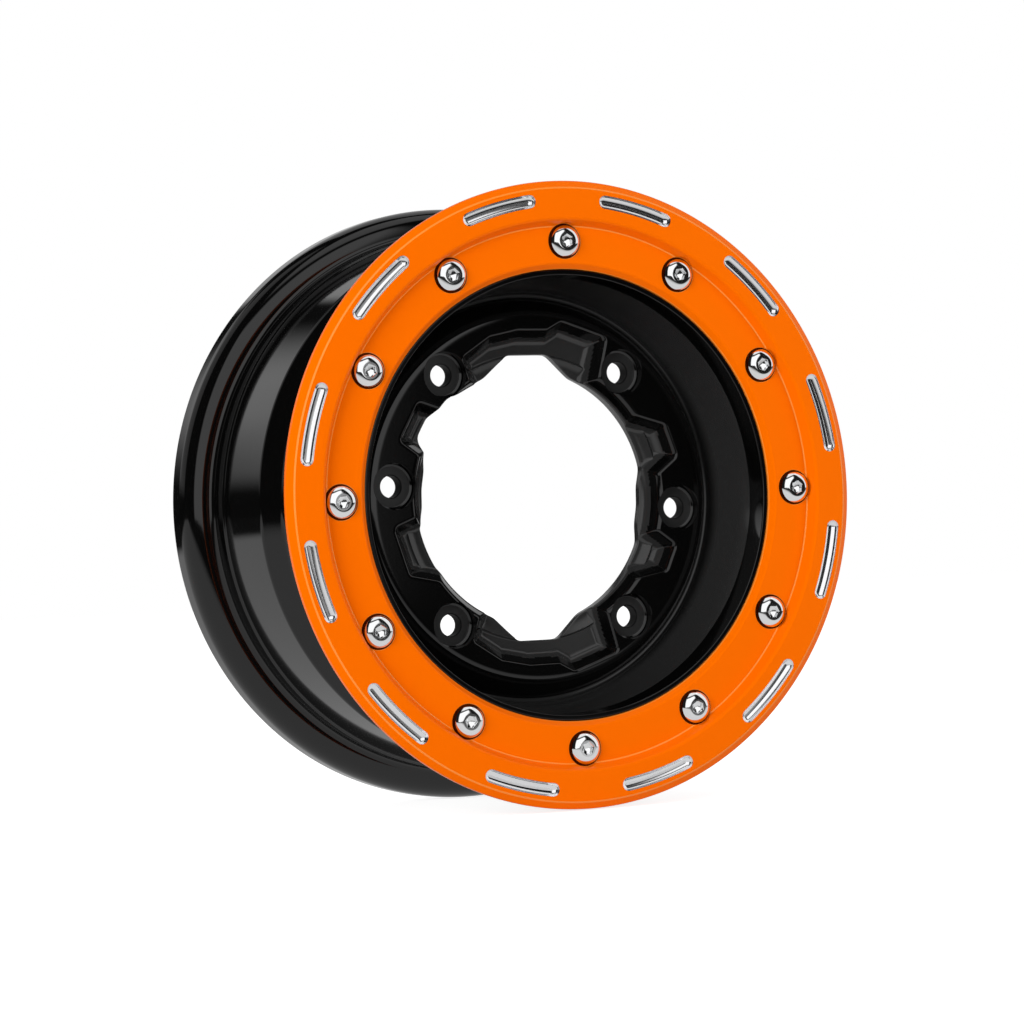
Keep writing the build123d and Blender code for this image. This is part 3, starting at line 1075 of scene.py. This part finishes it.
        span = self.rim_radius - self.split_radius
        radii = [
            np.full(self.segments, self.rim_radius - span * row / self.outer_rows)
            for row in range(1, self.outer_rows + 1)
        ]
        lip = edge + self.lip_round
        for row in range(1, self.inner_rows + 1):
            radii.append(self.split_radius + (lip - self.split_radius) * (row / self.inner_rows))
        top = self.front(lip, turns)
        made = [ring(self.rim_radius, self.rim_depth)]
        made += [ring(radius, self.front(radius, turns)) for radius in radii]
        made += [
            ring(edge + self.lip_middle, top + self.lip_middle),
            ring(edge, top + self.lip_round),
            ring(edge, self.back_depth - self.back_round),
            ring(edge + self.back_middle, self.back_depth - self.back_middle),
            ring(edge + self.back_round, self.back_depth),
        ]
        return made + [ring(radius, depth) for radius, depth in self.back]

    def lug_hole(self, clock: float) -> Object:
        """Makes the body that bores one lug hole and its seat.

        Args:
            clock: clock angle of the hole.

        Returns:
            The cutter.
        """
        wide = self.lug_pocket_radius
        # The seat's floor takes the grey painted sheen, the hole's wall the dull thin coat
        skin_sheen_painted, dust = CastFinish.SKIN_WITH_PAINTED_SHEEN.value, CastFinish.DUST.value
        section = [
            (0.0, self.cut_start), (wide + 0.5, self.cut_start), (wide + 0.5, self.face_depth, 0.2),
            (wide, self.face_depth + 0.5, 0.3), (wide - 0.3, self.lug_seat_depth - 0.5, 0.4),
            (wide - 1.3, self.lug_seat_depth, 0.6, skin_sheen_painted),
            (self.lug_hole_radius + 0.4, self.lug_seat_depth, 0.0, dust),
            (self.lug_hole_radius, self.lug_seat_depth + 0.4, 0.0, dust),
            (self.lug_hole_radius, self.cut_end), (0.0, self.cut_end),
        ]
        return turned_bar("lug_cutter", section, self.hole_segments, self.lug_circle_radius, clock)

    def build(self) -> None:
        """Builds the disc as one closed skin and bores its lug holes."""
        rings = self.rows()
        faces: list[tuple[int, ...]] = []
        for level in range(len(rings)):
            after = (level + 1) % len(rings)
            faces += band(level * self.segments, after * self.segments, self.segments)
        points = np.concatenate(rings)
        corners = points[np.array(faces)] / METRE
        depths = corners[:, :, 1].mean(axis=1) + HALF_WIDTH
        reach = np.hypot(corners[:, :, 0], corners[:, :, 2]).mean(axis=1)
        # The pocket floors, the ledge and the opening's edge keep the rough skin of the casting, whose
        # lighter grey colour is a painted sheen
        sunk = (reach < self.sunk_radius) & (depths > self.ledge_depth - self.sunk_above_ledge)
        sunk &= depths < self.back_depth - self.sunk_before_back
        numbers = np.where(sunk, CastFinish.SKIN_WITH_PAINTED_SHEEN.value, CastFinish.GLOSS.value)
        disc = mesh_object("casting_hub_disc", points, faces, numbers.tolist())
        cut(disc, [self.lug_hole(clock) for clock in self.lug_clocks])
        finished(disc, (BLACK_COAT, BLACK_COAT_WITH_PAINTED_SHEEN, DUSTED_BLACK_COAT), self.sharp)
        hand_over(disc, ["wheel"])


@dataclass
class Inserts:
    """The threaded steel inserts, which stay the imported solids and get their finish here."""

    count: int = 12

    def build(self) -> None:
        """Gives each insert its steel."""
        for number in range(self.count):
            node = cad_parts[f"insert_{number + 1:02d}"]
            node.data.materials.clear()
            node.data.materials.append(TURNED_STEEL.material())
        LOG.info("%d inserts are dressed", self.count)


# The studio


@dataclass(frozen=True)
class Panel:
    """A white panel of the studio, as angles: left and right from the front, bottom and top from level."""

    left: float
    right: float
    bottom: float
    top: float
    strength: float
    soft: float = 6.0


@dataclass
class Studio:
    """The floor, the surroundings, the lights and the camera."""

    floor_height: float = -140.7
    floor_glow: float = 0.8
    bright_floor: float = 0.7
    bright_floor_middle: float = 0.4
    bright_floor_reach: float = 0.7
    ambient: float = 0.45
    dark_room: float = 0.01
    floor_fade: float = 1.8
    far_floor: float = 0.02
    floor_reach: float = 6.0
    panels: tuple[Panel, ...] = (
        Panel(-151.0, -104.0, 6.0, 80.0, 0.42, 5.0),
        Panel(-168.0, -144.0, 12.0, 38.0, 0.9, 16.0),
        Panel(125.0, 178.0, 8.0, 70.0, 0.7, 4.0),
        Panel(-46.0, 22.0, -4.0, 46.0, 1.1),
        Panel(46.0, 100.0, -4.0, 60.0, 0.9),
        Panel(-46.0, 100.0, 58.0, 88.0, 0.9, 8.0),
    )
    azimuth: float = -25.889
    elevation: float = -0.579
    roll: float = -2.325
    distance: float = 1550.0
    aim_right: float = -28.536
    aim_up: float = -7.8
    bolt_plane_depth: float = 3.5
    focal_pixels: float = 3477.348
    picture_pixels: float = 1024.0
    sensor_width: float = 36.0
    sight_metres: float = 50.0

    @staticmethod
    def window(
        tree: NodeTree,
        value: Any,
        middle: float,
        ends: tuple[float, float],
        levels: tuple[float, float] = (1.0, 0.0),
    ) -> Any:
        """Adds a soft window over a value.

        Args:
            tree: the node tree.
            value: the node or socket that gives the value.
            middle: the middle of the window.
            ends: the distances from the middle between which it fades.
            levels: what it gives inside and outside.

        Returns:
            The node that gives the window.
        """
        off = add_node(tree, "Math", {0: value, 1: middle}, operation="SUBTRACT")
        away = add_node(tree, "Math", {0: off}, operation="ABSOLUTE")
        (near, far), (inside, outside) = ends, levels
        inputs = {"Value": away, "From Min": near, "From Max": far, "To Min": inside, "To Max": outside}
        return add_node(tree, "MapRange", inputs, interpolation_type="SMOOTHSTEP")

    @staticmethod
    def mirrored(path: Node) -> Any:
        """Gives the node that is one for what gloss, chrome and glass show, and zero for the rest."""
        rays = {0: path.outputs["Is Glossy Ray"], 1: path.outputs["Is Transmission Ray"]}
        return add_node(path.id_data, "Math", rays, operation="MAXIMUM")

    def floor(self) -> None:
        """Lays a pale floor that is white to the camera and keeps the wheel's shadow."""
        reach, height = self.floor_reach, self.floor_height * METRE
        corners = [(-reach, -reach), (reach, -reach), (reach, reach), (-reach, reach)]
        points = np.array([(x, y, height) for x, y in corners])
        made = mesh_object("studio_floor", points, [(0, 1, 2, 3)], [0])
        material = bpy.data.materials.new("white_paper_floor")
        material.use_nodes = True
        tree = material.node_tree
        tree.nodes.remove(tree.nodes["Principled BSDF"])
        path = add_node(tree, "LightPath")
        spot = add_node(tree, "TexCoord").outputs["Object"]
        behind = add_node(tree, "SeparateXYZ", {0: spot}).outputs["Y"]
        ends = (self.bright_floor_reach, self.bright_floor_reach * self.floor_fade)
        near = self.window(tree, behind, self.bright_floor_middle, ends, (self.bright_floor, self.far_floor))
        seen = add_node(
            tree, "Math", {0: path.outputs["Is Camera Ray"], 1: self.floor_glow}, operation="MULTIPLY"
        )
        glow, image = (
            add_node(tree, "Emission", {"Color": linear(WHITE), "Strength": strength})
            for strength in (seen, near)
        )
        paper = add_node(tree, "BsdfDiffuse", {"Color": linear("E6E6E6")})
        lit = add_node(tree, "AddShader", {0: paper, 1: glow})
        both = add_node(tree, "MixShader", {0: self.mirrored(path), 1: lit, 2: image})
        tree.links.new(both.outputs[0], tree.nodes["Material Output"].inputs["Surface"])
        made.data.materials.append(material)

    def surroundings(self) -> None:
        """Fills the world: white to the camera, even for plain light, and panels for the reflections."""
        world = bpy.data.worlds.new("studio")
        bpy.context.scene.world = world
        world.use_nodes = True
        tree = world.node_tree
        tree.nodes.clear()
        path = add_node(tree, "LightPath")
        way = add_node(tree, "TexCoord").outputs["Generated"]
        parts = add_node(tree, "SeparateXYZ", {0: way}).outputs
        front = add_node(tree, "Math", {0: parts["Y"], 1: -1.0}, operation="MULTIPLY")
        turn = add_node(tree, "Math", {0: parts["X"], 1: front}, operation="ARCTAN2")
        rise = add_node(tree, "Math", {0: parts["Z"]}, operation="ARCSINE")
        clock, height = (add_node(tree, "Math", {0: angle}, operation="DEGREES") for angle in (turn, rise))
        total: Any = self.dark_room
        for panel in self.panels:
            sides = []
            for angle, low, high in ((clock, panel.left, panel.right), (height, panel.bottom, panel.top)):
                ends = ((high - low - panel.soft) / 2, (high - low + panel.soft) / 2)
                sides.append(self.window(tree, angle, (low + high) / 2, ends))
            shape = add_node(tree, "Math", {0: sides[0], 1: sides[1]}, operation="MULTIPLY")
            total = add_node(tree, "Math", {0: shape, 1: panel.strength, 2: total}, operation="MULTIPLY_ADD")
        room, even, white = (
            add_node(tree, "Background", {"Color": linear(WHITE), "Strength": strength})
            for strength in (total, self.ambient, 1.0)
        )
        first = add_node(tree, "MixShader", {0: self.mirrored(path), 1: even, 2: room})
        last = add_node(tree, "MixShader", {0: path.outputs["Is Camera Ray"], 1: first, 2: white})
        add_node(tree, "OutputWorld", {"Surface": last})

    @staticmethod
    def soft_box(
        name: str, where: tuple[float, float, float], size: tuple[float, float], power: float
    ) -> None:
        """Hangs one soft box that shines at the wheel.

        Args:
            name: the light's name.
            where: its place in metres.
            size: its width and height in metres.
            power: its power in watts.
        """
        data = bpy.data.lights.new(name, "AREA")
        data.shape = "RECTANGLE"
        data.size, data.size_y = size
        data.energy = power
        light = linked(name, data)
        light.location = where
        light.rotation_euler = (-Vector(where)).to_track_quat("-Z", "Y").to_euler()
        # The panels of the world are what the wheel mirrors, so the boxes themselves stay out of it
        light.visible_glossy = False

    def camera(self) -> None:
        """Sets the camera at the photograph's viewing angle."""
        turn, rise, roll = (math.radians(a) for a in (self.azimuth, self.elevation, self.roll))
        back = Vector((math.sin(turn) * math.cos(rise), -math.cos(turn) * math.cos(rise), math.sin(rise)))
        right = (-back).cross(Vector((0.0, 0.0, 1.0))).normalized()
        up = right.cross(-back)
        rolled_right = math.cos(roll) * right + math.sin(roll) * up
        rolled_up = -math.sin(roll) * right + math.cos(roll) * up
        spot = back * self.distance + rolled_right * self.aim_right + rolled_up * self.aim_up
        spot.y += self.bolt_plane_depth - HALF_WIDTH
        data = bpy.data.cameras.new("camera")
        data.sensor_width = self.sensor_width
        data.lens = self.focal_pixels * self.sensor_width / self.picture_pixels
        data.clip_end = self.sight_metres
        camera = linked("camera", data)
        facing = Matrix((rolled_right, rolled_up, back)).transposed().to_4x4()
        camera.matrix_world = Matrix.Translation(spot * METRE) @ facing
        bpy.context.scene.camera = camera

    def build(self) -> None:
        """Sets up the whole studio."""
        self.floor()
        self.surroundings()
        self.soft_box("key_left", (-2.0, -1.15, 0.5), (1.2, 1.2), 35.0)
        self.soft_box("fill_right", (1.6, -1.6, 0.5), (1.0, 1.4), 15.0)
        self.camera()
        bpy.context.scene.view_settings.view_transform = "Standard"
        LOG.info("the studio is set with %d panels", len(self.panels))


def main() -> None:
    """Builds the pieces in order."""
    ClampRing().build()
    ButtonScrew().build()
    Barrel().build()
    HubDisc().build()
    Inserts().build()
    Studio().build()


if __name__ == "__main__":
    logging.basicConfig(level=logging.INFO, format="%(name)s: %(message)s")
    main()
